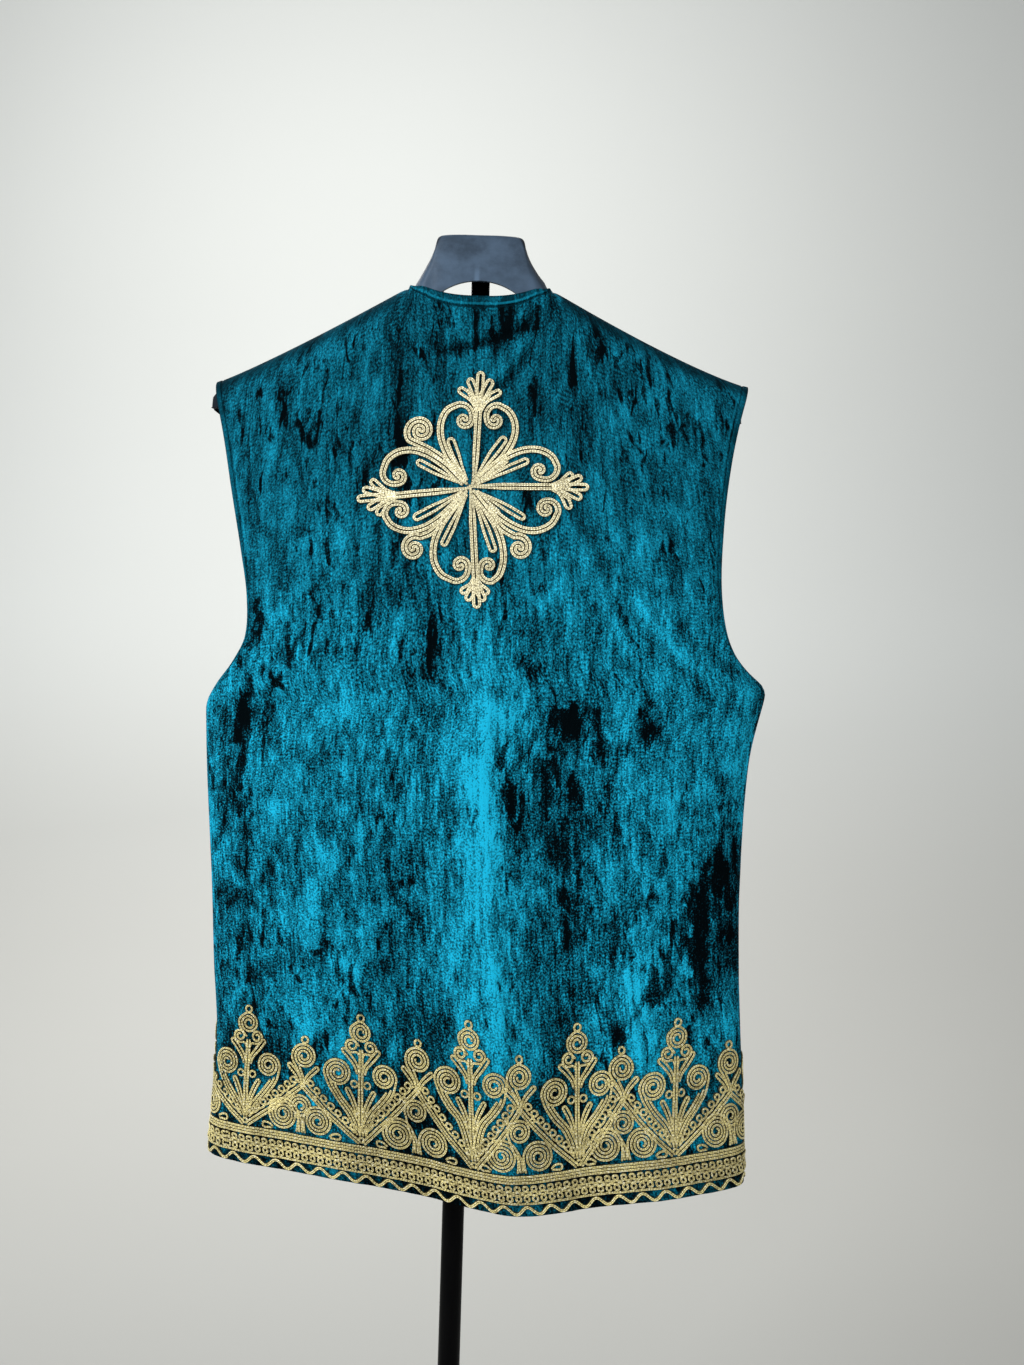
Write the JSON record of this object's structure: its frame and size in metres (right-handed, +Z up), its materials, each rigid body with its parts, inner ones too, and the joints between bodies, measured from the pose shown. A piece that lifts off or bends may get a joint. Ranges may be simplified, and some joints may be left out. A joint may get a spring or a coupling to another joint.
{
  "type": "embroidered folk vest on a shoulder-form display stand",
  "caption": "Sleeveless velvet vest with couched gold braid, shown from the back on an open shoulder form whose pole slides up and down in a round floor base.",
  "frame": {"origin": "centre of the base's underside, on the pole's axis", "axes": "+Z up along the pole; +Y towards the wearer's back, the embroidered side shown; +X towards the wearer's left"},
  "size_m": [0.4889, 0.3, 1.3597],
  "materials": {
    "velvet": "crushed pile, streaked and flecked",
    "gold_braid": "two-strand braid of pale metallic thread",
    "form_plastic": "moulded, lightly textured",
    "black_metal": "satin black powder coat",
    "black_plastic": "moulded, fine grain"
  },
  "bodies": {
    "stand": {"base": "black_metal", "lower_tube": "black_metal", "clamp_collar": "black_plastic", "clamp_knob": "black_plastic"},
    "display": {"upper_tube": "black_metal", "shoulder_form": "form_plastic", "back_panel": "velvet", "front_panel_left": "velvet", "front_panel_right": "velvet", "hem_embroidery_back": "gold_braid", "hem_embroidery_front_left": "gold_braid", "hem_embroidery_front_right": "gold_braid", "hem_wave_back": "gold_braid", "hem_wave_front_left": "gold_braid", "hem_wave_front_right": "gold_braid", "armhole_braid_left": "gold_braid", "armhole_braid_right": "gold_braid", "back_medallion": "gold_braid"}
  },
  "joints": [
    {"name": "height", "type": "slide", "parent": "stand", "child": "display", "axis": [0, 0, 1], "range_m": [-0.25, 0.2]}
  ]
}
